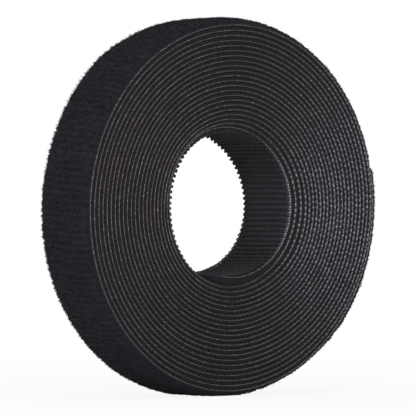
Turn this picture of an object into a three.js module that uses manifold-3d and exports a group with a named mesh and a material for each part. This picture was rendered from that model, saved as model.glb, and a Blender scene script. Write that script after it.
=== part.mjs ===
// A roll of back-to-back hook and loop tape, standing on its rim.
// Two strips, laminated back to back, are wound together without a core.
// Lengths are millimetres. The roll's axis lies along Y, its front face looks
// towards -Y, and +Z is up. Angles run anticlockwise from +X, seen from the front.

import * as THREE from 'three';
import * as BufferGeometryUtils from 'three/addons/utils/BufferGeometryUtils.js';
import Module from 'manifold-3d';

// The tape. Heights are measured from the bond line, where the two strips meet.
const tapeWidth = 20;
const bondFilm = 0.08; // glue between the two backings, left open
const freeHookHeight = 0.9; // where nothing presses on the hooks
const freePileHeight = 2.1; // where nothing presses on the pile
const pileFallHeight = 1.5; // the free pile falls off so much towards its cut edges
const pileFallWidth = 2.5;
const pressedHookShare = 0.42; // of the room to the turn below
const pressedPileShare = 0.44; // of the room to the turn above

// The winding, given for the bond line
const turns = 22.306;
const innerEndAngle = -98; // degrees
const innerRadius = 21.2;
const pitch = 1.297; // from one turn to the next, at the bore
const pitchGrowth = 0.006; // that each turn adds to the pitch

// Where the roll isn't round
const innerShift = 1.9; // the innermost turns sit this far towards -X
const innerShiftTurns = 2.2; // turns in which that fades to about a third
const innerOval = 0.22; // half of how far the long radius passes the short one
const outerOval = 0.69;
const outerOvalAngle = 41; // degrees, where the outer turns are longest
const innerLobe = 0.245; // the same for a threefold bulge, highest towards +X
const outerLobe = 0.082;

// The two ends
const innerLift = 1.5; // the inner end stands off the turn below it
const innerLiftTurns = 0.18;
const innerLiftPower = 1.5;
const outerTuck = 0.64; // the outer end is pressed into the roll
const outerTuckTurns = 0.22;

// The flat that the rim stands on, and how finely the strips are bent
const flatDepth = 0.5;
const cutOverrun = 5;
const stepsPerTurn = 24;
const leastStepShare = 0.3; // a shorter first step is left out
const turnTolerance = 1e-9;

const angleAt = (t) => THREE.MathUtils.degToRad(innerEndAngle + 360 * t);

// The radius of the bond line, t turns from the inner end
function bondRadius(t) {
  const angle = angleAt(t);
  const outness = t / turns;
  const fade = Math.exp(-t / innerShiftTurns);
  const ovalTurn = THREE.MathUtils.degToRad(outerOvalAngle);
  let radius = innerRadius + pitch * t + (pitchGrowth / 2) * t * t;
  radius -= innerShift * fade * Math.cos(angle);
  radius += innerOval * (1 - outness) * Math.cos(2 * angle);
  radius += outerOval * outness * Math.cos(2 * (angle - ovalTurn));
  radius += THREE.MathUtils.lerp(innerLobe, outerLobe, outness) * Math.cos(3 * angle);
  radius -= innerLift * Math.max(0, 1 - t / innerLiftTurns) ** innerLiftPower;
  radius -= outerTuck * Math.max(0, 1 - (turns - t) / outerTuckTurns);
  return radius;
}

// Stretch in which the free pile falls to the outer end's cut, and rises again past it
const fallTurns = pileFallWidth / (2 * Math.PI * bondRadius(turns));
const freeFrom = turns - 1; // the outermost turn's pile, which nothing presses on

// Steps are counted back from the outer end, so the corners of all turns line up
// and the flat facets nest without cutting each other
function stations() {
  const list = [0, freeFrom + fallTurns, turns - fallTurns];
  for (let k = Math.floor(turns * stepsPerTurn); k >= 0; k -= 1) {
    const t = turns - k / stepsPerTurn;
    if (t * stepsPerTurn > leastStepShare) list.push(t);
  }
  return list.sort((a, b) => a - b);
}

// How far the hooks reach in from the bond line
function hookReach(t) {
  if (t < 1) return freeHookHeight;
  return Math.min(freeHookHeight, pressedHookShare * (bondRadius(t) - bondRadius(t - 1)));
}

// The pile's heights over the bond line, at its cut edges and along its middle
function pileHeights(t) {
  const under = Math.min(t, freeFrom);
  const room = bondRadius(under + 1) - bondRadius(under);
  const pressed = Math.min(freePileHeight, pressedPileShare * room);
  const sprungBack = THREE.MathUtils.clamp((t - freeFrom) / fallTurns, 0, 1);
  const notYetFallen = THREE.MathUtils.clamp((turns - t) / fallTurns, 0, 1);
  const edge = THREE.MathUtils.lerp(pressed, freePileHeight - pileFallHeight, sprungBack);
  const middle = edge + pileFallHeight * Math.min(sprungBack, notYetFallen);
  const crowned = t >= freeFrom - turnTolerance;
  return { edge, middle, fallWidth: crowned ? pileFallWidth : 0 };
}

const strips = {
  hook_strip: {
    color: 0x272527,
    roughness: 0.55,
    section(t) {
      const top = -bondFilm / 2;
      return { base: -hookReach(t), edge: top, middle: top, fallWidth: 0 };
    },
  },
  loop_strip: {
    color: 0x242126,
    roughness: 0.95,
    section: (t) => ({ base: bondFilm / 2, ...pileHeights(t) }),
  },
};

// The corners of a strip's section at one station: up the front edge, over the
// middle and down the back edge. Two of them are one where the top is level.
function corners(strip, t) {
  const { base, edge, middle, fallWidth } = strip.section(t);
  const half = tapeWidth / 2;
  const outline = [
    [base, -half],
    [edge, -half],
    [middle, fallWidth - half],
    [middle, half - fallWidth],
    [edge, half],
    [base, half],
  ];
  const angle = angleAt(t);
  return outline.map(([height, y]) => {
    const radius = bondRadius(t) + height;
    return new THREE.Vector3(radius * Math.cos(angle), y, radius * Math.sin(angle));
  });
}

// One unbroken strip, swept through its stations and capped at both ends. The back
// half's facets are split the other way, so that it mirrors the front half.
function windStrip(strip) {
  const rings = stations().map((t) => corners(strip, t));
  const sides = rings[0].length;
  const triangles = [];
  for (let k = 0; k < rings.length - 1; k += 1) {
    for (let i = 0; i < sides; i += 1) {
      const a = k * sides + i;
      const b = k * sides + ((i + 1) % sides);
      const split = i < sides / 2 ? [[a, b + sides, a + sides], [a, b, b + sides]]
        : [[a, b, a + sides], [b, b + sides, a + sides]];
      triangles.push(...split);
    }
  }
  const last = (rings.length - 1) * sides;
  for (let i = 1; i < sides - 1; i += 1) {
    triangles.push([0, i + 1, i], [last, last + i, last + i + 1]);
  }
  const points = rings.flat();
  const same = (a, b) => points[a].equals(points[b]);
  const kept = triangles.filter(([a, b, c]) => !same(a, b) && !same(b, c) && !same(c, a));
  const geometry = new THREE.BufferGeometry().setFromPoints(points);
  geometry.setIndex(kept.flat());
  return BufferGeometryUtils.mergeVertices(geometry);
}

// The least gap from one turn of a strip to the next, on its corners and halfway
// along its facets
function leastGap(strip) {
  const rings = stations().map((t) => corners(strip, t));
  const edgeLine = (corner) => rings.flatMap((ring, k) => {
    const next = rings[k + 1];
    return next ? [ring[corner], ring[corner].clone().lerp(next[corner], 0.5)] : [ring[corner]];
  });
  const lower = edgeLine(1);
  const upper = edgeLine(0);
  const halfTurn = stepsPerTurn; // a step has two points
  let least = Infinity;
  for (let a = 0; a < lower.length; a += 1) {
    for (let b = a + halfTurn; b < upper.length; b += 1) {
      least = Math.min(least, lower[a].distanceTo(upper[b]));
    }
  }
  return least;
}

const wasm = await Module();
wasm.setup();

function toSolid(geometry) {
  geometry.deleteAttribute('normal');
  geometry.deleteAttribute('uv');
  const merged = BufferGeometryUtils.mergeVertices(geometry);
  return new wasm.Manifold(new wasm.Mesh({
    numProp: 3,
    vertProperties: new Float32Array(merged.attributes.position.array),
    triVerts: new Uint32Array(merged.index.array),
  }));
}

function toGeometry(solid) {
  const mesh = solid.getMesh();
  const geometry = new THREE.BufferGeometry();
  geometry.setAttribute('position', new THREE.Float32BufferAttribute(mesh.vertProperties, 3));
  geometry.setIndex(Array.from(mesh.triVerts));
  return geometry;
}

// The rim is cut flat where the roll stands
function cutFlat(geometry) {
  geometry.computeBoundingBox();
  const { min, max } = geometry.boundingBox;
  const height = flatDepth + cutOverrun;
  const block = new THREE.BoxGeometry(
    max.x - min.x + 2 * cutOverrun,
    max.y - min.y + 2 * cutOverrun,
    height,
  );
  block.translate((max.x + min.x) / 2, (max.y + min.y) / 2, min.z + flatDepth - height / 2);
  return toGeometry(toSolid(geometry).subtract(toSolid(block)));
}

const roll = new THREE.Group();

function addStrip(name, shape) {
  const { color, roughness } = strips[name];
  const mesh = new THREE.Mesh(
    shape(windStrip(strips[name])),
    new THREE.MeshStandardMaterial({ color, roughness, metalness: 0 }),
  );
  mesh.name = name;
  roll.add(mesh);
  console.log(`${name}: least gap to itself ${leastGap(strips[name]).toFixed(2)} mm`);
}

addStrip('hook_strip', (geometry) => geometry);
addStrip('loop_strip', cutFlat);

// The roll stands on the ground plane, centred over the origin
const bounds = new THREE.Box3().setFromObject(roll);
const centre = bounds.getCenter(new THREE.Vector3());
roll.position.set(-centre.x, -centre.y, -bounds.min.z);

export default roll;
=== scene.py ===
import math
import bmesh
import bpy
import numpy as np
from mathutils import Matrix, Vector


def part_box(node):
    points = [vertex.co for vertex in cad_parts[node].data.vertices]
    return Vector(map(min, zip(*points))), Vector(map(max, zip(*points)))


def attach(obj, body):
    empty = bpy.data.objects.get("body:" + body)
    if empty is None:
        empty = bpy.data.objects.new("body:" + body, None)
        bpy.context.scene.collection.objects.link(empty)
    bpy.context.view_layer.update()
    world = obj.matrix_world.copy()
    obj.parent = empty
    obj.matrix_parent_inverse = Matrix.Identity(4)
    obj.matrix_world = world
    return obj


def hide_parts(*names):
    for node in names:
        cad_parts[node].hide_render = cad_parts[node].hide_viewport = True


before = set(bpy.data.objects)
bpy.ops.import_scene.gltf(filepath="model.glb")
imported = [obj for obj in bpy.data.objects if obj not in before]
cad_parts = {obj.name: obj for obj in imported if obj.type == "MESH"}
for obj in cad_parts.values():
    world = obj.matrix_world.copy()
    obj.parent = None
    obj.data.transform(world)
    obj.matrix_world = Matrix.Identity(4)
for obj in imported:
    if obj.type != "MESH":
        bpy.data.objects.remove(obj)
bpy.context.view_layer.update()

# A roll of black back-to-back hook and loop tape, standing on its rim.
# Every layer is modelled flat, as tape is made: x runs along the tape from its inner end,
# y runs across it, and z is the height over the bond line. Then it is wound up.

mm = 0.001
scene = bpy.context.scene

# The winding, in millimetres, degrees and turns
winding = {
    # as the CAD model has it
    "turns": 22.306,
    "innerEndAngle": -98,  # anticlockwise from +X, seen from the front
    "innerRadius": 21.2,
    "pitch": 1.297,
    "pitchGrowth": 0.006,
    "innerShift": 1.9,
    "innerShiftTurns": 2.2,
    "innerOval": 0.22,
    "outerOval": 0.69,
    "outerOvalAngle": 41,
    "innerLobe": 0.245,
    "outerLobe": 0.082,
    "innerLift": 1.5,
    "innerLiftTurns": 0.18,
    "innerLiftPower": 1.5,
    "outerTuck": 0.64,
    "outerTuckTurns": 0.22,
    # what the photo shows beyond that
    "looseTip": 0.016,  # turns, of ragged tape before the inner end
    "endTwist": 0.7,  # the inner end's back corner is lifted so much more
    "endTwistTurns": 0.12,
    "flare": 0.45,  # the innermost turn's front edge bends outwards so far
    "flareAngle": 130,
    "flareSpan": 55,  # degrees, to either side of that
    "flareWidth": 2.5,
    # how far out the real turns lie from the CAD's smooth winding, by the angle, and the share
    # of that by the turn
    "drift": (
        (-90, 0.1), (-75, 0.03), (-60, 0.13), (-45, 0.43), (-30, 0.6), (-15, 0.56), (0, 0.47),
        (15, 0.4), (30, 0.38), (45, 0.28), (60, 0.12), (75, 0.03), (90, -0.12), (105, -0.27),
        (120, -0.27), (135, -0.22), (150, -0.14), (180, -0.1), (210, 0), (240, 0.06)),
    "driftShares": (
        (0, 0.15), (1.2, 0.15), (3.2, 1.35), (6, 1.25), (9, 1.03), (20, 0.93), (22.3, 0.3)),
    # for finding the axis of the CAD model
    "cadStepsPerTurn": 24,
    "cadBondFilm": 0.08,
}

# The tape, in millimetres
tape = {
    "width": 20,
    "edgeHeight": 0.115,  # of either backing, over and under the bond line
    "glue": 0.02,  # either backing starts so far from the bond line
    "rowPitch": 1.56,  # of the hooks, along the tape
    "columnPitch": 0.545,  # of the hooks, across it
    "hookHeight": 0.95,  # over the bond line, unpressed
    "pileHeight": 2.1,
    "pileSunk": 0.02,  # the pile's foot sits so deep in its backing
}

tableSteps = 8000  # for turning length along the tape into turns
spareKnots = 4  # of a random wander, past the tape's end
weldDistance = 0.001

half = tape["width"] / 2
turns = winding["turns"]
freeFrom = turns - 1  # nothing presses on the pile of the outermost turn


def angleAt(t):
    return np.radians(winding["innerEndAngle"] + 360 * t)


# A value from a table of angles, in degrees, and values
def byAngle(table, t):
    return np.interp(np.degrees(angleAt(t)), *zip(*table), period=360)


# The bond line's radius, t turns from the inner end
def bondRadius(t):
    w = winding
    angle = angleAt(t)
    out = t / turns
    radius = w["innerRadius"] + w["pitch"] * t + w["pitchGrowth"] / 2 * t ** 2
    radius = radius - w["innerShift"] * np.exp(-t / w["innerShiftTurns"]) * np.cos(angle)
    radius = radius + w["innerOval"] * (1 - out) * np.cos(2 * angle)
    ovalAngle = math.radians(w["outerOvalAngle"])
    radius = radius + w["outerOval"] * out * np.cos(2 * (angle - ovalAngle))
    lobe = w["innerLobe"] * (1 - out) + w["outerLobe"] * out
    radius = radius + lobe * np.cos(3 * angle)
    lift = np.maximum(0, 1 - t / w["innerLiftTurns"]) ** w["innerLiftPower"]
    radius = radius - w["innerLift"] * lift
    return radius - w["outerTuck"] * np.maximum(0, 1 - (turns - t) / w["outerTuckTurns"])


# The roll's axis, found from the box of the CAD hook strip and the corners that it was bent at
def findAxis():
    t = turns - np.arange(winding["cadStepsPerTurn"] + 1) / winding["cadStepsPerTurn"]
    radius = bondRadius(t) - winding["cadBondFilm"] / 2
    x = radius * np.cos(angleAt(t)) * mm
    z = radius * np.sin(angleAt(t)) * mm
    low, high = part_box("hook_strip")
    return (low.x + high.x - x.min() - x.max()) / 2, (low.z + high.z - z.min() - z.max()) / 2


axisX, axisZ = findAxis()

# Length along the tape against turns
tableTurns = np.linspace(-winding["looseTip"], turns, tableSteps)
tableRadius = bondRadius(tableTurns)
tableX = tableRadius * np.cos(angleAt(tableTurns))
tableZ = tableRadius * np.sin(angleAt(tableTurns))
tableLength = np.concatenate(([0], np.cumsum(np.hypot(np.diff(tableX), np.diff(tableZ)))))
tapeLength = tableLength[-1]
freeLength = np.interp(freeFrom, tableTurns, tableLength)
firstTurnLength = np.interp(1, tableTurns, tableLength)
print("tape", round(tapeLength), "mm long, axis at", round(axisX / mm, 2), round(axisZ / mm, 2))


def turnsAt(x):
    return np.interp(x, tableLength, tableTurns)


# Distance from this turn's bond line to the next one out, and to the next one in
def roomAbove(t):
    under = np.minimum(t, freeFrom)
    return bondRadius(under + 1) - bondRadius(under)


def roomBelow(t):
    over = np.maximum(t, 1)
    return bondRadius(over) - bondRadius(over - 1)


# Flat points in millimetres become wound ones in metres, and what would lie under
# the floor is pressed flat on it
def windUp(flat):
    t = turnsAt(flat[:, 0])
    twist = np.clip(flat[:, 1] / half, 0, 1) * np.clip(1 - t / winding["endTwistTurns"], 0, 1)
    away = np.degrees(angleAt(t)) - winding["flareAngle"]
    flare = np.cos(np.radians(90 * np.clip(away / winding["flareSpan"], -1, 1))) ** 2
    flare = flare * winding["flare"]
    flare = flare * np.clip(1 - (half + flat[:, 1]) / winding["flareWidth"], 0, 1) ** 2
    drift = byAngle(winding["drift"], t) * np.interp(t, *zip(*winding["driftShares"]))
    radius = (bondRadius(t) + flat[:, 2] - winding["endTwist"] * twist + flare + drift) * mm
    angle = angleAt(t)
    x = axisX + radius * np.cos(angle)
    z = axisZ + radius * np.sin(angle)
    return np.column_stack((x, flat[:, 1] * mm, np.maximum(z, 0)))


# A random value from -1 to 1 that wanders along the tape, with a knot at each spacing
def waver(x, spacing, seed):
    count = int(tapeLength / spacing) + spareKnots
    knots = np.random.default_rng(seed).uniform(-1, 1, count)
    return np.interp(x / spacing, np.arange(len(knots)), knots)


def readPoints(mesh):
    points = np.empty(len(mesh.vertices) * 3, np.float32)
    mesh.vertices.foreach_get("co", points)
    return points.reshape(-1, 3).astype(float)


def writePoints(mesh, points):
    mesh.vertices.foreach_set("co", points.astype(np.float32).ravel())
    mesh.update()


# Keeps a flat mesh's places as an attribute for its material, and winds it up
def finishPiece(name, mesh, material, node):
    flat = readPoints(mesh)
    places = mesh.attributes.new("tapePlace", "FLOAT_VECTOR", "POINT")
    places.data.foreach_set("vector", flat.astype(np.float32).ravel())
    writePoints(mesh, windUp(flat))
    mesh.polygons.foreach_set("use_smooth", [True] * len(mesh.polygons))
    mesh.materials.append(material)
    piece = bpy.data.objects.new(name, mesh)
    scene.collection.objects.link(piece)
    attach(piece, "root")
    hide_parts(node)
    print(name, len(mesh.polygons), "faces")


# A layer starts as a grid, with a row for each place along the tape and a column for each
# corner of its outline. It is folded shut across the tape and closed at both ends.
def makeLayer(name, along, y, z):
    rows, columns = y.shape
    bm = bmesh.new()
    bmesh.ops.create_grid(bm, x_segments=rows - 1, y_segments=columns, size=0.5)
    mesh = bpy.data.meshes.new(name)
    bm.to_mesh(mesh)
    grid = readPoints(mesh)
    row = np.rint((grid[:, 0] + 0.5) * (rows - 1)).astype(int)
    column = np.rint((grid[:, 1] + 0.5) * columns).astype(int) % columns
    writePoints(mesh, np.column_stack((along[row], y[row, column], z[row, column])))
    bm.clear()
    bm.from_mesh(mesh)
    bmesh.ops.remove_doubles(bm, verts=bm.verts, dist=weldDistance)
    bmesh.ops.holes_fill(bm, edges=[edge for edge in bm.edges if edge.is_boundary])
    bmesh.ops.recalc_face_normals(bm, faces=bm.faces)
    bm.to_mesh(mesh)
    bm.free()
    return mesh


# Many copies of one small shape: the Array modifier lays them all in the same place,
# and then each copy's points are turned, scaled and moved to its own
def makeCopies(name, bm, count):
    source = bpy.data.meshes.new(name + "Source")
    bm.to_mesh(source)
    bm.free()
    holder = bpy.data.objects.new(name + "Source", source)
    scene.collection.objects.link(holder)
    array = holder.modifiers.new("copies", "ARRAY")
    array.count = count
    array.use_relative_offset = False
    evaluated = holder.evaluated_get(bpy.context.evaluated_depsgraph_get())
    mesh = bpy.data.meshes.new_from_object(evaluated)
    mesh.name = name
    bpy.data.objects.remove(holder)
    bpy.data.meshes.remove(source)
    return mesh


# Yaw turns a copy about its upright axis, and lean shifts it sideways as it rises
def placeCopies(mesh, place, yaw, lean, scale):
    count = len(place)
    shape = readPoints(mesh).reshape(count, -1, 3) * scale[:, None, :]
    c, s = np.cos(yaw)[:, None], np.sin(yaw)[:, None]
    x = shape[:, :, 0] * c - shape[:, :, 1] * s
    y = shape[:, :, 0] * s + shape[:, :, 1] * c
    z = shape[:, :, 2]
    x = x + z * lean[:, :1]
    y = y + z * lean[:, 1:]
    writePoints(mesh, (np.stack((x, y, z), axis=2) + place[:, None, :]).reshape(-1, 3))


# Materials

# An sRGB hex value as a linear colour
def toLinear(hexColor):
    channels = [int(hexColor[k:k + 2], 16) / 255 for k in (1, 3, 5)]
    linear = [c / 12.92 if c <= 0.04045 else ((c + 0.055) / 1.055) ** 2.4 for c in channels]
    return linear + [1]


# An input is a value, or a socket to link it to
def addNode(tree, kind, inputs=None, **settings):
    node = tree.nodes.new(kind)
    for name, value in settings.items():
        setattr(node, name, value)
    for name, value in (inputs or {}).items():
        if isinstance(value, bpy.types.NodeSocket):
            tree.links.new(value, node.inputs[name])
        else:
            node.inputs[name].default_value = value
    return node


def newMaterial(name):
    material = bpy.data.materials.new(name)
    material.use_nodes = True
    tree = material.node_tree
    return material, tree, tree.nodes["Principled BSDF"]


# How far a point lies from the tape's middle, as 0 to 1 between two distances in millimetres
def nearEdge(tree, start, end):
    coordinates = addNode(tree, "ShaderNodeTexCoord")
    split = addNode(tree, "ShaderNodeSeparateXYZ", {0: coordinates.outputs["Object"]})
    distance = addNode(tree, "ShaderNodeMath", {0: split.outputs["Y"]}, operation="ABSOLUTE")
    share = addNode(tree, "ShaderNodeMapRange", {
        "Value": distance.outputs[0], "From Min": start * mm, "From Max": end * mm,
    })
    return share.outputs[0]


# The place on the flat tape, in millimetres
def tapePlace(tree):
    return addNode(tree, "ShaderNodeAttribute", attribute_name="tapePlace").outputs["Vector"]


# The turns stand open towards +X, and there the colours are painted paler, as painted light
sideLight = {
    "openFrom": 0.5,  # cosine of the angle round the axis
    "openTo": 0.97,
    "elsewhere": 0.25,
}


# Painted light: 1 where the turns stand open, and less elsewhere
def litSide(tree, elsewhere):
    coordinates = addNode(tree, "ShaderNodeTexCoord")
    fromAxis = addNode(tree, "ShaderNodeVectorMath", {
        0: coordinates.outputs["Object"], 1: (1, 0, 1), 2: (-axisX, 0, -axisZ),
    }, operation="MULTIPLY_ADD")
    outwards = addNode(tree, "ShaderNodeVectorMath", {
        0: fromAxis.outputs[0],
    }, operation="NORMALIZE")
    cosine = addNode(tree, "ShaderNodeSeparateXYZ", {0: outwards.outputs[0]})
    share = addNode(tree, "ShaderNodeMapRange", {
        "Value": cosine.outputs["X"], "From Min": sideLight["openFrom"], "From Max": sideLight["openTo"],
        "To Min": elsewhere, "To Max": 1.0,
    })
    return share.outputs[0]


rimPileShape = {
    "step": 0.2,
    "across": 32,
    # how high the pile stands, by the angle round the rim: the roll's weight presses on its foot
    "topHeights": (
        (0, 2.1), (200, 2.1), (235, 1.85), (250, 1.6), (270, 1.7), (290, 1.6), (310, 1.85),
        (330, 2.1)),
    "frontHeights": (
        (0, 0.6), (180, 0.6), (230, 0.6), (260, 0.45), (280, 0.2), (305, 0.25), (320, 0.9),
        (335, 0.8), (350, 0.6)),
    "frontFall": 4.6,  # width in which the pile falls to that
    "backHeights": (
        (90, 1.2), (105, 1.6), (128, 2.3), (145, 1.6), (160, 1.2), (205, 1.1), (230, 0.5),
        (320, 0.5), (360, 1.2)),
    "backFall": 2.0,
    "endFall": 2.5,
    "endShare": 0.5,  # of its height, left at the outer end's cut
    "ribPitch": 1.78,
    "ribSkew": 0.075,  # how far a rib runs along the tape for each millimetre across it
    "ribHeight": 0.13,
    "ribMean": 0.4,  # share of a rib's height that lies under the pile's mean
    "ribFrom": 0.3,  # lower pile has no ribs
    "roughness": 0.06,
    "smoothEdge": 0.3,  # width by the slit edge without it
    "sideInset": 0.06,
    "footInset": 0.1,
    "fibreMargins": (0.5, 0.3),  # loops and tufts keep so far from its start and its end
    "seed": 5,
}

pile = {
    "light": "#302d32",
    "dark": "#222024",
    "gapShade": "#232022",  # painted shade at the slit edge inside the roll, where one looks into the gaps between turns
    "roughness": 0.95,
    "gloss": 0.02,
    "sheen": 0.1,
    "sheenRoughness": 0.5,
    "sheenTint": "#8a8790",
    "fibreSize": 0.25,  # millimetres, coarser than the real fibres so that it shows
    "fibreDetail": 3,
    "fibreRoughness": 0.65,
    "patchSize": 7,
    "patchDetail": 2,
    "patchShare": 0.1,
    # painted light on the ribs' crests, over the shading of their relief
    "ribLightShare": 0.23,
    "ribWander": 1.2,  # radians by which the fibres shift a rib
    "ribFrom": 0.2,  # cosine of a rib's phase
    "darkest": 0.4,  # sum of fibres, patches and ribs
    "lightest": 1.1,
    "cutStart": 9.2,  # millimetres from the tape's middle
    "cutEnd": 9.6,
    "bumpStrength": 0.3,
    "bumpDepth": 0.1,
}


# Napped nylon knit: the loops are brushed up into a soft dark fur, which scatters light and has
# no gloss, with small light and dark specks where fibres lie across each other. The ribs' crests
# are painted lighter, as painted light over their relief, and inside the roll the pile is painted
# darker by the slit edge, as painted shade in the gaps between turns
def nappedNylon():
    material, tree, shader = newMaterial("nappedBlackNylonKnit")
    place = tapePlace(tree)
    fibres = addNode(tree, "ShaderNodeTexNoise", {
        "Vector": place, "Scale": 1 / pile["fibreSize"], "Detail": pile["fibreDetail"],
        "Roughness": pile["fibreRoughness"],
    })
    patches = addNode(tree, "ShaderNodeTexNoise", {
        "Vector": place, "Scale": 1 / pile["patchSize"], "Detail": pile["patchDetail"],
    })
    patchShare = addNode(tree, "ShaderNodeMath", {
        0: patches.outputs["Fac"], 1: pile["patchShare"], 2: fibres.outputs["Fac"],
    }, operation="MULTIPLY_ADD")
    perRib = 2 * math.pi / rimPileShape["ribPitch"]
    along = addNode(tree, "ShaderNodeVectorMath", {
        0: place, 1: (perRib, perRib * rimPileShape["ribSkew"], 0),
    }, operation="DOT_PRODUCT")
    wander = addNode(tree, "ShaderNodeMath", {
        0: fibres.outputs["Fac"], 1: pile["ribWander"], 2: along.outputs["Value"],
    }, operation="MULTIPLY_ADD")
    wave = addNode(tree, "ShaderNodeMath", {0: wander.outputs[0]}, operation="COSINE")
    # Painted light: the ribs' crests are lighter and their valleys darker, over the shading of
    # their relief
    rib = addNode(tree, "ShaderNodeMapRange", {
        "Value": wave.outputs[0], "From Min": pile["ribFrom"], "From Max": 1.0,
        "To Max": pile["ribLightShare"],
    })
    both = addNode(tree, "ShaderNodeMath", {
        0: patchShare.outputs[0], 1: rib.outputs[0],
    }, operation="ADD")
    share = addNode(tree, "ShaderNodeMapRange", {
        "Value": both.outputs[0], "From Min": pile["darkest"], "From Max": pile["lightest"],
    })
    nap = addNode(tree, "ShaderNodeMix", {
        "Factor": share.outputs[0], "A": toLinear(pile["dark"]), "B": toLinear(pile["light"]),
    }, data_type="RGBA")
    split = addNode(tree, "ShaderNodeSeparateXYZ", {0: place})
    inside = addNode(tree, "ShaderNodeMath", {
        0: split.outputs["X"], 1: freeLength,
    }, operation="LESS_THAN")
    # Painted shade: inside the roll the pile is darker by the slit edge, as the shade in the gaps
    # between turns
    shaded = addNode(tree, "ShaderNodeMath", {
        0: nearEdge(tree, pile["cutStart"], pile["cutEnd"]), 1: inside.outputs[0],
    }, operation="MULTIPLY")
    color = addNode(tree, "ShaderNodeMix", {
        "Factor": shaded.outputs[0], "A": nap.outputs["Result"], "B": toLinear(pile["gapShade"]),
    }, data_type="RGBA")
    tree.links.new(color.outputs["Result"], shader.inputs["Base Color"])
    bump = addNode(tree, "ShaderNodeBump", {
        "Height": fibres.outputs["Fac"], "Strength": pile["bumpStrength"],
        "Distance": pile["bumpDepth"] * mm,
    })
    tree.links.new(bump.outputs[0], shader.inputs["Normal"])
    shader.inputs["Roughness"].default_value = pile["roughness"]
    shader.inputs["Sheen Weight"].default_value = pile["sheen"]
    shader.inputs["Sheen Roughness"].default_value = pile["sheenRoughness"]
    shader.inputs["Sheen Tint"].default_value = toLinear(pile["sheenTint"])
    shader.inputs["Specular IOR Level"].default_value = pile["gloss"]
    return material


hooks = {
    "color": "#2c292d",
    # painted shade: the hooks by the slit edge are darker, as the shade in the gaps between turns
    "edgeShadeAndLight": "#201d1f",
    # paler grey on the hooks by the slit edge in the innermost turns, most where they stand open
    # towards +X, which is painted light
    "paleLitColor": "#565459",
    "roughness": 0.45,
    "gloss": 0.1,
    "edgeStart": 9.3,  # millimetres from the tape's middle
    "edgeEnd": 9.55,
    "paleTurns": 1.3,
    "paleHold": 0.8,  # of those turns, before the paleness fades
    "litElsewhere": 0.1,  # share of the paleness that stays away from +X
    "paleSize": 0.8,
    "paleDetail": 2,
}


# Moulded nylon hooks: smooth black plastic with a dull gloss. Those by the slit edge are painted
# darker, as painted shade in the gaps between turns. In the innermost turns they are painted
# paler grey, most where the turns stand open towards +X, as painted light, so that the eye finds
# each
def mouldedNylon():
    material, tree, shader = newMaterial("mouldedBlackNylonHooks")
    place = tapePlace(tree)
    noise = addNode(tree, "ShaderNodeTexNoise", {
        "Vector": place, "Scale": 1 / hooks["paleSize"], "Detail": hooks["paleDetail"],
    })
    split = addNode(tree, "ShaderNodeSeparateXYZ", {0: place})
    free = addNode(tree, "ShaderNodeMapRange", {
        "Value": split.outputs["X"], "From Min": hooks["paleTurns"] * firstTurnLength,
        "From Max": hooks["paleHold"] * hooks["paleTurns"] * firstTurnLength,
    })
    # Painted light: paler most where the turns stand open towards +X
    paleAndLit = addNode(tree, "ShaderNodeMath", {
        0: free.outputs[0], 1: litSide(tree, hooks["litElsewhere"]),
    }, operation="MULTIPLY")
    paleLitShare = addNode(tree, "ShaderNodeMath", {
        0: paleAndLit.outputs[0], 1: noise.outputs["Fac"],
    }, operation="MULTIPLY")
    edgeShadeAndLight = addNode(tree, "ShaderNodeMix", {
        "Factor": paleLitShare.outputs[0], "A": toLinear(hooks["edgeShadeAndLight"]),
        "B": toLinear(hooks["paleLitColor"]),
    }, data_type="RGBA")
    # Painted shade by the slit edge, with painted light in the innermost turns
    color = addNode(tree, "ShaderNodeMix", {
        "Factor": nearEdge(tree, hooks["edgeStart"], hooks["edgeEnd"]),
        "A": toLinear(hooks["color"]), "B": edgeShadeAndLight.outputs["Result"],
    }, data_type="RGBA")
    tree.links.new(color.outputs["Result"], shader.inputs["Base Color"])
    shader.inputs["Roughness"].default_value = hooks["roughness"]
    shader.inputs["Specular IOR Level"].default_value = hooks["gloss"]
    return material


backing = {
    "color": "#434146",
    "cutColor": "#726e71",
    # painted light: the side that carries the hooks is paler by the slit edge, fully so only
    # towards +X
    "innerColor": "#8c8a93",
    # painted glints: bright specks on the beads
    "glintColor": "#c9c8ce",
    "roughness": 0.6,
    "gloss": 0.05,
    "cutStart": 9.7,  # millimetres from the tape's middle
    "cutEnd": 9.85,
    "innerStart": 9.35,  # the same on the side that carries the hooks
    "innerEnd": 9.65,
    "hookSideFrom": -0.06,  # height at which that side begins
    "hookSideTo": -0.1,
    "beadSize": 0.45,
    "beadDetail": 2,
    "beadRoughness": 0.7,
    "beadFrom": 0.47,  # noise between two beads, and on one
    "beadTo": 0.59,
    "darkest": 0.08,
    "footShare": 0.05,  # how far the beads follow the rows of hooks
    "innerFootShare": 0.06,
    "boreFootShare": 0.13,  # the same in the innermost turns
    "boreTurns": (2.5, 4.5),
    "fineTurns": 1.2,  # in which the beads lie twice as close
    "fineBoost": 0.8,  # and follow the rows so much more
    "fineLit": 0.17,  # and are painted so much paler where they stand open towards +X, as painted light
    # painted glints, small bright specks on the beads
    "glintSize": 0.4,
    "glintFrom": 0.64,
    "glintTo": 0.74,
    "shadedColor": "#37353a",  # between the rows of hooks, away from +X
}
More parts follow.
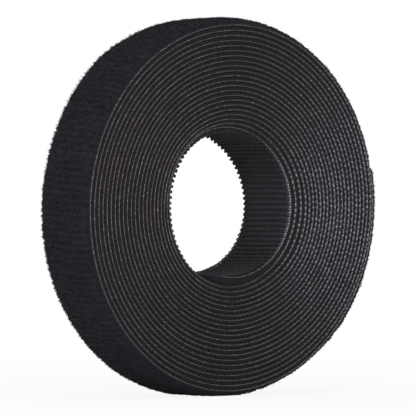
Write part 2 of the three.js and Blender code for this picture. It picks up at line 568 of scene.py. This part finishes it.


# Laminated backing: black inside the roll, and grey along the slit edge, where the cut ends of
# its yarns and the glue lie open in small uneven beads, with bright specks painted on as glints.
# By that edge the side that carries the hooks is painted paler still between their feet, most
# where the turns stand open towards +X, as painted light; away from +X the backing between the
# rows of hooks is painted darker, as painted shade
def slitBacking():
    material, tree, shader = newMaterial("slitNylonBacking")
    place = tapePlace(tree)
    split = addNode(tree, "ShaderNodeSeparateXYZ", {0: place})
    beads = addNode(tree, "ShaderNodeTexNoise", {
        "Vector": place, "Scale": 1 / backing["beadSize"], "Detail": backing["beadDetail"],
        "Roughness": backing["beadRoughness"],
    })
    phase = addNode(tree, "ShaderNodeMath", {
        0: split.outputs["X"], 1: 2 * math.pi / tape["rowPitch"],
    }, operation="MULTIPLY")
    fine = addNode(tree, "ShaderNodeMath", {
        0: split.outputs["X"], 1: backing["fineTurns"] * firstTurnLength,
    }, operation="LESS_THAN")
    closer = addNode(tree, "ShaderNodeMath", {
        0: fine.outputs[0], 1: phase.outputs[0], 2: phase.outputs[0],
    }, operation="MULTIPLY_ADD")
    beat = addNode(tree, "ShaderNodeMath", {0: closer.outputs[0]}, operation="COSINE")
    stronger = addNode(tree, "ShaderNodeMath", {
        0: fine.outputs[0], 1: backing["fineBoost"],
    }, operation="MULTIPLY")
    wave = addNode(tree, "ShaderNodeMath", {
        0: stronger.outputs[0], 1: beat.outputs[0], 2: beat.outputs[0],
    }, operation="MULTIPLY_ADD")
    # Painted light: paler where the turns stand open towards +X, with some of it elsewhere in the
    # first mask and none in the second
    litShare = litSide(tree, sideLight["elsewhere"])
    litOnly = litSide(tree, 0)
    # Painted light in the innermost turns, towards +X
    boreLit = addNode(tree, "ShaderNodeMath", {
        0: litOnly, 1: backing["fineLit"],
    }, operation="MULTIPLY")
    # Painted glints: small bright specks on the beads
    glints = addNode(tree, "ShaderNodeTexNoise", {
        "Vector": place, "Scale": 1 / backing["glintSize"], "Detail": 0,
    })
    glintShare = addNode(tree, "ShaderNodeMapRange", {
        "Value": glints.outputs["Fac"], "From Min": backing["glintFrom"],
        "From Max": backing["glintTo"],
    })
    litAndGlintShare = addNode(tree, "ShaderNodeMath", {
        0: fine.outputs[0], 1: boreLit.outputs[0], 2: glintShare.outputs[0],
    }, operation="MULTIPLY_ADD")
    boreFrom, boreTo = np.interp(backing["boreTurns"], tableTurns, tableLength)
    # In the innermost turns the beads follow the rows of hooks most towards +X, with the painted
    # light
    boreShare = addNode(tree, "ShaderNodeMath", {
        0: litShare, 1: backing["boreFootShare"],
    }, operation="MULTIPLY")

    # Lays a colour over another by the slit edge, broken up into beads
    def layer(base, footShare, start, end, color, strength=1.0):
        follow = addNode(tree, "ShaderNodeMapRange", {
            "Value": split.outputs["X"], "From Min": boreFrom, "From Max": boreTo,
            "To Min": boreShare.outputs[0], "To Max": footShare,
        })
        both = addNode(tree, "ShaderNodeMath", {
            0: wave.outputs[0], 1: follow.outputs[0], 2: beads.outputs["Fac"],
        }, operation="MULTIPLY_ADD")
        beadShare = addNode(tree, "ShaderNodeMapRange", {
            "Value": both.outputs[0], "From Min": backing["beadFrom"],
            "From Max": backing["beadTo"], "To Min": backing["darkest"], "To Max": 1.0,
        })
        near = addNode(tree, "ShaderNodeMath", {
            0: nearEdge(tree, start, end), 1: strength,
        }, operation="MULTIPLY")
        share = addNode(tree, "ShaderNodeMath", {
            0: near.outputs[0], 1: beadShare.outputs[0],
        }, operation="MULTIPLY")
        bead = addNode(tree, "ShaderNodeMix", {
            "Factor": litAndGlintShare.outputs[0], "A": toLinear(color),
            "B": toLinear(backing["glintColor"]),
        }, data_type="RGBA")
        return addNode(tree, "ShaderNodeMix", {
            "Factor": share.outputs[0], "A": base, "B": bead.outputs["Result"],
        }, data_type="RGBA").outputs["Result"]

    black = toLinear(backing["color"])
    cut = layer(
        black, backing["footShare"], backing["cutStart"], backing["cutEnd"], backing["cutColor"])
    # Painted shade between the rows of hooks, away from +X
    between = addNode(tree, "ShaderNodeMix", {
        "Factor": litOnly, "A": toLinear(backing["shadedColor"]), "B": black,
    }, data_type="RGBA")
    inner = layer(
        between.outputs["Result"], backing["innerFootShare"], backing["innerStart"],
        backing["innerEnd"], backing["innerColor"], litShare)
    hookSide = addNode(tree, "ShaderNodeMapRange", {
        "Value": split.outputs["Z"], "From Min": backing["hookSideFrom"],
        "From Max": backing["hookSideTo"],
    })
    color = addNode(tree, "ShaderNodeMix", {
        0: hookSide.outputs[0], "A": cut, "B": inner,
    }, data_type="RGBA")
    tree.links.new(color.outputs["Result"], shader.inputs["Base Color"])
    shader.inputs["Roughness"].default_value = backing["roughness"]
    shader.inputs["Specular IOR Level"].default_value = backing["gloss"]
    return material


pileMaterial = nappedNylon()
hookMaterial = mouldedNylon()
backingMaterial = slitBacking()
print("materials made")

# The two backings, glued to each other

backingShape = {
    "step": 0.7,
    "edgeWaver": 0.05,  # the slit edge wanders so far in and out
    "edgeSpacing": 0.7,
    "heightWaver": 0.03,
    "heightSpacing": 0.9,
    "bulge": 0.05,
}


# Side is 1 over the bond line and -1 under it
def makeBacking(name, side, node, seed):
    b = backingShape
    along = np.arange(0, tapeLength, b["step"])
    low = side * tape["glue"]
    high = side * tape["edgeHeight"]
    front = b["edgeWaver"] * waver(along, b["edgeSpacing"], seed)
    back = b["edgeWaver"] * waver(along, b["edgeSpacing"], seed + 1)
    thick = b["heightWaver"] * side * waver(along, b["heightSpacing"], seed + 2)
    # across the tape, over the bond line, and the share of that waver
    outline = [
        (-half, low, 0), (-half - b["bulge"], (low + high) / 2, 0.5), (-half, high, 1),
        (half, high, 1), (half + b["bulge"], (low + high) / 2, 0.5), (half, low, 0),
    ]
    y = np.array([[corner[0] for corner in outline]] * len(along))
    z = np.array([[corner[1] for corner in outline]] * len(along))
    y[:, :3] -= front[:, None]
    y[:, 3:] += back[:, None]
    z += thick[:, None] * np.array([corner[2] for corner in outline])
    mesh = makeLayer(name, along, y, z)
    finishPiece(name, mesh, backingMaterial, node)


makeBacking("loopGround", side=1, node="loop_strip", seed=11)
makeBacking("hookBacking", side=-1, node="hook_strip", seed=21)

# The pile inside the roll, pressed by the turn above it

innerPileShape = {
    "step": 0.7,
    "topGap": 0.3,  # to the bond line above
    "inset": 0.02,  # of its sides behind the slit edge
    # share of its height by the slit edge, by the angle: the turns stand open towards +X
    "edgeShares": (
        (0, 0.54), (28, 0.56), (50, 0.85), (70, 0.82), (95, 0.58), (265, 0.58), (290, 0.82),
        (312, 0.85), (335, 0.56)),
    "boreShare": 0.95,  # the same in the innermost turns, which press on it less
    "boreTurns": (2.2, 4),
    "edgeWidth": 0.6,
    "tuft": 0.1,  # tufts make its side uneven by so much
    "tuftSpacing": 0.7,
    "clumpShare": 0.5,  # and clumps of tufts by this share of it
    "clumpSpacing": 2.1,
    "tuftRise": 0.8,
    "tuftMiddle": 0.6,
    "footInset": 0.03,
    "topInset": 0.1,
    "tuftSeed": 30,
    "clumpSeed": 36,
}


def makeInnerPile():
    p = innerPileShape
    along = np.arange(0, freeLength + p["step"], p["step"])
    base = tape["edgeHeight"] - tape["pileSunk"]
    top = np.minimum(tape["pileHeight"], roomAbove(turnsAt(along)) - p["topGap"])
    edge = half - p["inset"]
    outside = np.interp(turnsAt(along), p["boreTurns"], (0, 1))
    share = p["boreShare"] + outside * (byAngle(p["edgeShares"], turnsAt(along)) - p["boreShare"])
    columns = []
    for side in (-1, 1):
        clump = p["clumpShare"] * waver(along, p["clumpSpacing"], p["clumpSeed"] + side)
        tuft = p["tuft"] * (waver(along, p["tuftSpacing"], p["tuftSeed"] + side) + clump)
        edgeTop = base + (top - base) * (share + p["tuftRise"] * tuft)
        rows = [
            (edge - p["footInset"], base),
            (edge + p["tuftMiddle"] * tuft, (base + edgeTop) / 2),
            (edge + tuft - p["topInset"], edgeTop),
            (edge - p["edgeWidth"], top),
        ]
        columns += [(side * y, z + 0 * along) for y, z in (rows if side < 0 else rows[::-1])]
    y = np.stack([c[0] + 0 * along for c in columns], axis=1)
    z = np.stack([c[1] for c in columns], axis=1)
    mesh = makeLayer("innerPile", along, y, z)
    finishPiece("innerPile", mesh, pileMaterial, "loop_strip")


makeInnerPile()


# The rim's free pile, crowned across the tape, in ribs that lie a little askew
def ribWave(x, y):
    r = rimPileShape
    return (0.5 + 0.5 * np.cos(2 * np.pi * (x + r["ribSkew"] * y) / r["ribPitch"])) ** 2


def rimHeight(x, y):
    r = rimPileShape
    t = turnsAt(x)
    top = byAngle(r["topHeights"], t)
    front = 1 - (1 - np.clip((half + y) / r["frontFall"], 0, 1)) ** 2
    back = 1 - (1 - np.clip((half - y) / r["backFall"], 0, 1)) ** 2
    backHeight = byAngle(r["backHeights"], t)
    frontHeight = byAngle(r["frontHeights"], t)
    fromFront = frontHeight + (top - frontHeight) * front
    fromBack = backHeight + (np.maximum(top, backHeight) - backHeight) * back
    height = np.minimum(np.maximum(fromFront, fromFront - top + backHeight), fromBack)
    free = np.clip(height - r["ribFrom"], 0, 1)
    height = height + r["ribHeight"] * (ribWave(x, y) - r["ribMean"]) * free
    pressed = roomAbove(t) - innerPileShape["topGap"]
    fromCut = np.clip((x - freeLength) / r["endFall"], 0, 1)
    toEnd = np.clip((tapeLength - x) / r["endFall"], 0, 1)
    height = np.minimum(height, pressed + (height - pressed) * fromCut)
    return height * (r["endShare"] + (1 - r["endShare"]) * np.sqrt(toEnd))


def makeRimPile():
    r = rimPileShape
    along = np.arange(freeLength, tapeLength, r["step"])
    across = half * np.sin(np.linspace(-np.pi / 2, np.pi / 2, r["across"]))
    x, y = np.meshgrid(along, across, indexing="ij")
    noise = np.random.default_rng(r["seed"]).normal(0, 1, x.shape)
    noise = (noise + np.roll(noise, 1, 0) + np.roll(noise, 1, 1)) / math.sqrt(3)
    z = rimHeight(x, y) + r["roughness"] * noise * (np.abs(y) < half - r["smoothEdge"])
    base = np.full((len(along), 1), tape["edgeHeight"] - tape["pileSunk"])
    foot = np.full_like(base, half - r["footInset"])
    y = np.hstack((-foot, y * (1 - r["sideInset"] / half), foot))
    z = np.hstack((base, z, base))
    mesh = makeLayer("rimPile", along, y, z)
    finishPiece("rimPile", mesh, pileMaterial, "loop_strip")


makeRimPile()

# Fibre loops that stand out of the rim's pile

fuzz = {
    "pieces": 3,
    "count": 7600,
    "loopRadius": 0.28,
    "fibre": 0.05,
    "sides": 3,
    "steps": 4,
    "sizes": (0.6, 1.3),
    "heights": (0.9, 1.4),  # against its size
    "lean": 0.4,
    "sunk": 0.1,
    "sideMargin": 0.15,
    "seed": 100,
}


def makeFuzz(index):
    f = fuzz
    bm = bmesh.new()
    bmesh.ops.create_circle(
        bm, cap_ends=True, segments=f["sides"], radius=f["fibre"],
        matrix=Matrix.Translation((f["loopRadius"], 0, 0)))
    bmesh.ops.spin(
        bm, geom=bm.verts[:] + bm.edges[:] + bm.faces[:], cent=(0, 0, 0), axis=(0, -1, 0),
        dvec=(0, 0, 0), angle=math.pi, steps=f["steps"], use_merge=False)
    bmesh.ops.recalc_face_normals(bm, faces=bm.faces)
    name = "rimFuzz" + str(index)
    count = f["count"]
    mesh = makeCopies(name, bm, count)
    random = np.random.default_rng(f["seed"] + index)
    start, end = rimPileShape["fibreMargins"]
    x = random.uniform(freeLength + start, tapeLength - end, count)
    reach = half - f["sideMargin"]
    y = random.uniform(-reach, reach, count)
    z = rimHeight(x, y) - f["sunk"]
    lean = random.normal(0, f["lean"], (count, 2))
    size = random.uniform(*f["sizes"], count)
    scale = np.column_stack((size, size, size * random.uniform(*f["heights"], count)))
    yaw = random.uniform(0, math.pi, count)
    placeCopies(mesh, np.column_stack((x, y, z)), yaw, lean, scale)
    finishPiece(name, mesh, pileMaterial, "loop_strip")


for index in range(fuzz["pieces"]):
    makeFuzz(index + 1)

# Tufts of cut fibres between the loops

tufts = {
    "count": 14000,
    "length": 0.85,
    "thickness": 0.34,
    "sides": 3,
    "sizes": (0.6, 1.2),
    "lean": 0.35,
    "sunk": 0.3,
    "sideMargin": 0.1,
    "edgeCount": 3400,  # more of them, that hang over the cut edges
    "edgeReach": 0.6,
    "edgeLean": 0.5,
    # share of that length, by the angle round the rim
    "lengthShares": (
        (0, 0.5), (80, 0.55), (100, 1), (145, 1), (165, 0.75), (225, 0.75), (250, 0.5)),
    "seed": 200,
}


def makeTufts():
    f = tufts
    bm = bmesh.new()
    bmesh.ops.create_cone(
        bm, cap_ends=True, segments=f["sides"], radius1=f["thickness"] / 2, radius2=0,
        depth=f["length"], matrix=Matrix.Translation((0, 0, f["length"] / 2)))
    bmesh.ops.remove_doubles(bm, verts=bm.verts, dist=weldDistance)
    count = f["count"] + f["edgeCount"]
    mesh = makeCopies("rimTufts", bm, count)
    random = np.random.default_rng(f["seed"])
    start, end = rimPileShape["fibreMargins"]
    x = random.uniform(freeLength + start, tapeLength - end, count)
    reach = half - f["sideMargin"]
    y = random.uniform(-reach, reach, count)
    lean = random.normal(0, f["lean"], (count, 2))
    overEdge = np.arange(count) >= f["count"]
    side = np.sign(y)
    y = np.where(overEdge, side * (reach - f["edgeReach"] * np.abs(y) / half), y)
    lean[:, 1] += overEdge * side * f["edgeLean"]
    z = rimHeight(x, y) - f["sunk"]
    size = random.uniform(*f["sizes"], count)
    scale = np.column_stack((size, size, size * byAngle(f["lengthShares"], turnsAt(x))))
    yaw = random.uniform(0, 2 * math.pi, count)
    placeCopies(mesh, np.column_stack((x, y, z)), yaw, lean, scale)
    finishPiece("rimTufts", mesh, pileMaterial, "loop_strip")


makeTufts()

# The hooks: a stem on the backing, curled over along the tape

hookShape = {
    "foot": 0.5,  # length of its foot along the tape
    "curlAngle": 200,
    "crownShift": 0.12,  # of a hook's crown from the middle of its row
    "sunk": 0.03,  # its foot, in the backing
    "yaw": 0.15,
    "lean": 0.06,
    "scatter": (0.04, 0.03),  # along the tape and across it
    # how high the free turn's hooks stand, by the angle round the bore
    "freeShares": (
        (0, 1), (95, 1), (115, 1.45), (145, 1.4), (170, 1.05), (195, 0.85), (235, 0.55),
        (262, 0.8), (290, 1.05)),
    "pressedGap": 0.25,  # from a pressed hook to the bond line below
    "leastShare": 0.4,  # of its height that a pressed hook keeps
}


def makeHook(shape):
    h = hookShape
    sides, thickness, curlRadius = shape["sides"], shape["thickness"], shape["curlRadius"]
    down = Matrix.Translation((0, 0, -tape["edgeHeight"] + h["sunk"]))
    turned = Matrix.Rotation(math.pi / sides, 4, "Z")
    bm = bmesh.new()
    bmesh.ops.create_circle(
        bm, cap_ends=True, segments=sides, radius=thickness / 2 / math.cos(math.pi / sides),
        matrix=down @ turned)
    foot = bm.verts[:]
    turnZ = -(tape["hookHeight"] - curlRadius - thickness / 2)
    stem = bmesh.ops.extrude_face_region(bm, geom=bm.faces[:])
    moved = [part for part in stem["geom"] if isinstance(part, bmesh.types.BMVert)]
    bmesh.ops.translate(bm, verts=moved, vec=(0, 0, turnZ + tape["edgeHeight"] - h["sunk"]))
    bmesh.ops.scale(bm, verts=foot, vec=(h["foot"] / thickness, 1, 1))
    end = min(bm.faces, key=lambda face: face.calc_center_median().z)
    bmesh.ops.spin(
        bm, geom=list(end.verts) + list(end.edges) + [end], cent=(curlRadius, 0, turnZ),
        axis=(0, -1, 0), dvec=(0, 0, 0), angle=math.radians(h["curlAngle"]), steps=shape["steps"],
        use_merge=False)
    bmesh.ops.recalc_face_normals(bm, faces=bm.faces)
    return bm


# Direction is the way that they curl, 0 or half a turn, and height is a share of the whole
def placeHooks(name, shape, x, y, direction, height, seed):
    h = hookShape
    random = np.random.default_rng(seed)
    mesh = makeCopies(name, makeHook(shape), len(x))
    setBack = shape["curlRadius"] - h["crownShift"]
    x = x - setBack * math.cos(direction) + random.normal(0, h["scatter"][0], len(x))
    y = y + random.normal(0, h["scatter"][1], len(x))
    t = turnsAt(x)
    pressed = np.clip((roomBelow(t) - h["pressedGap"]) / tape["hookHeight"], h["leastShare"], 1)
    share = np.where(t < 1, byAngle(h["freeShares"], t), pressed)
    scale = np.column_stack((np.ones(len(x)), np.ones(len(x)), share * height))
    yaw = direction + random.normal(0, h["yaw"], len(x))
    lean = random.normal(0, h["lean"], (len(x), 2))
    placeCopies(mesh, np.column_stack((x, y, 0 * x)), yaw, lean, scale)
    finishPiece(name, mesh, hookMaterial, "hook_strip")


edgeHooks = {
    "sides": 4,
    "steps": 3,
    "thickness": 0.34,
    "curlRadius": 0.29,
    "heights": (0.86, 1),  # of the outer column and the next one
    "frontInset": 0.3,  # of the outer column behind the slit edge
    "backInset": 0.2,
    "backStagger": 0.4,  # share of a row by which the next column lags there
    "endMargin": 0.6,
    "seed": 40,
}


# Every other column's hooks curl the other way
def makeEdgeHooks():
    e = edgeHooks
    rows = np.arange(tape["rowPitch"] / 2, tapeLength - e["endMargin"], tape["rowPitch"])
    sides = ((-1, "Front", e["frontInset"], 0), (1, "Back", e["backInset"], e["backStagger"]))
    for side, label, inset, stagger in sides:
        for column, height in enumerate(e["heights"]):
            x = np.minimum(rows + column * stagger * tape["rowPitch"], rows[-1])
            y = side * (half - inset - column * tape["columnPitch"])
            name = "edgeHooks" + label + str(column + 1)
            direction = math.pi * (column % 2)
            seed = e["seed"] + column + 2 * side
            placeHooks(name, e, x, y + 0 * rows, direction, height, seed)


makeEdgeHooks()

boreHooks = {
    "sides": 4,
    "steps": 5,
    "thickness": 0.23,
    "curlRadius": 0.34,
    "overlap": 6,  # millimetres under the next turn
    "seed": 60,
}


def makeBoreHooks():
    b = boreHooks
    rows = np.arange(tape["rowPitch"] / 2, firstTurnLength + b["overlap"], tape["rowPitch"])
    reach = half - edgeHooks["frontInset"] - len(edgeHooks["heights"]) * tape["columnPitch"]
    count = int(2 * reach / tape["columnPitch"] / 2) * 2
    columns = np.linspace(-reach, reach, count)
    for first, label in ((0, "Forward"), (1, "Backward")):
        x, y = np.meshgrid(rows, columns[first::2], indexing="ij")
        seed = b["seed"] + first
        placeHooks("boreHooks" + label, b, x.ravel(), y.ravel(), math.pi * first, 1, seed)


makeBoreHooks()
print("tape made")

# Floor, light and camera

studio = {
    "floorSize": 8.0,  # metres
    "floorColor": "#f4f4f4",
    "floorRoughness": 0.9,
    "floorWhite": 0.88,  # share of the floor's white that the shadow leaves
    "shadowReach": 0.3,
    "worldStrength": 0.46,
    "lamps": {  # power in watts, size and place in metres
        "keyLamp": (6, 0.8, (-0.4, -1.0, 0.3)),
        "fillLamp": (4, 0.3, (-1.1, -0.55, 0.16)),
        "topLamp": (4, 1.0, (-0.3, -0.1, 1.2)),
    },
}


# 1 for a ray that sees the studio from the camera, in a reflection or through glass
def seenWhite(tree):
    path = addNode(tree, "ShaderNodeLightPath")
    seen = path.outputs["Is Camera Ray"]
    for name in ("Is Glossy Ray", "Is Transmission Ray"):
        larger = addNode(tree, "ShaderNodeMath", {
            0: seen, 1: path.outputs[name],
        }, operation="MAXIMUM")
        seen = larger.outputs[0]
    return seen


# Near the roll the floor keeps its shadow, and further off it is as white as the background
def makeFloor():
    bm = bmesh.new()
    bmesh.ops.create_grid(bm, x_segments=1, y_segments=1, size=studio["floorSize"] / 2)
    mesh = bpy.data.meshes.new("floor")
    bm.to_mesh(mesh)
    bm.free()
    floor = bpy.data.objects.new("floor", mesh)
    scene.collection.objects.link(floor)
    material, tree, shader = newMaterial("palePaintedFloor")
    shader.inputs["Base Color"].default_value = toLinear(studio["floorColor"])
    shader.inputs["Roughness"].default_value = studio["floorRoughness"]
    white = addNode(tree, "ShaderNodeEmission", {"Strength": 1})
    coordinates = addNode(tree, "ShaderNodeTexCoord")
    distance = addNode(tree, "ShaderNodeVectorMath", {
        0: coordinates.outputs["Object"],
    }, operation="LENGTH")
    whiteness = addNode(tree, "ShaderNodeMapRange", {
        "Value": distance.outputs["Value"], "From Max": studio["shadowReach"],
        "To Min": studio["floorWhite"],
    })
    share = addNode(tree, "ShaderNodeMath", {
        0: seenWhite(tree), 1: whiteness.outputs[0],
    }, operation="MULTIPLY")
    mix = addNode(tree, "ShaderNodeMixShader", {
        0: share.outputs[0], 1: shader.outputs[0], 2: white.outputs[0],
    })
    tree.links.new(mix.outputs[0], tree.nodes["Material Output"].inputs["Surface"])
    mesh.materials.append(material)


def makeWorld():
    world = bpy.data.worlds.new("studio")
    world.use_nodes = True
    scene.world = world
    tree = world.node_tree
    strength = addNode(tree, "ShaderNodeMapRange", {
        "Value": seenWhite(tree), "To Min": studio["worldStrength"], "To Max": 1.0,
    })
    background = tree.nodes["Background"]
    background.inputs["Color"].default_value = (1, 1, 1, 1)
    tree.links.new(strength.outputs[0], background.inputs["Strength"])


def makeLamp(name, power, size, place, target):
    lamp = bpy.data.lights.new(name, "AREA")
    lamp.energy = power
    lamp.size = size
    holder = bpy.data.objects.new(name, lamp)
    scene.collection.objects.link(holder)
    holder.location = place
    holder.rotation_euler = (Vector(target) - Vector(place)).to_track_quat("-Z", "Y").to_euler()


camera = {
    "azimuth": -39.5,
    "distance": 1.065,
    "lens": 331.8,
    "sensor": 36,
    "farthest": 20,
    "pixelsPerMm": 3.6,
    "frame": 416,  # pixels
    "faceCentrePixel": (235.33, 206.25),  # where the middle of the front face is seen
}


def makeCamera():
    azimuth = math.radians(camera["azimuth"])
    back = Vector((math.sin(azimuth), -math.cos(azimuth), 0))
    right = Vector((math.cos(azimuth), math.sin(azimuth), 0))
    offX = (camera["faceCentrePixel"][0] - camera["frame"] / 2) / camera["pixelsPerMm"] * mm
    offZ = (camera["frame"] / 2 - camera["faceCentrePixel"][1]) / camera["pixelsPerMm"] * mm
    aim = Vector((axisX, -half * mm, axisZ)) - right * offX - Vector((0, 0, offZ))
    lens = bpy.data.cameras.new("camera")
    lens.lens = camera["lens"]
    lens.sensor_width = camera["sensor"]
    lens.clip_end = camera["farthest"]
    holder = bpy.data.objects.new("camera", lens)
    scene.collection.objects.link(holder)
    holder.location = aim + back * camera["distance"]
    holder.rotation_euler = (-back).to_track_quat("-Z", "Y").to_euler()
    scene.camera = holder


makeFloor()
makeWorld()
for name, (power, size, place) in studio["lamps"].items():
    makeLamp(name, power, size, place, (0, 0, axisZ))
makeCamera()
scene.view_settings.view_transform = "Standard"
print("studio made")
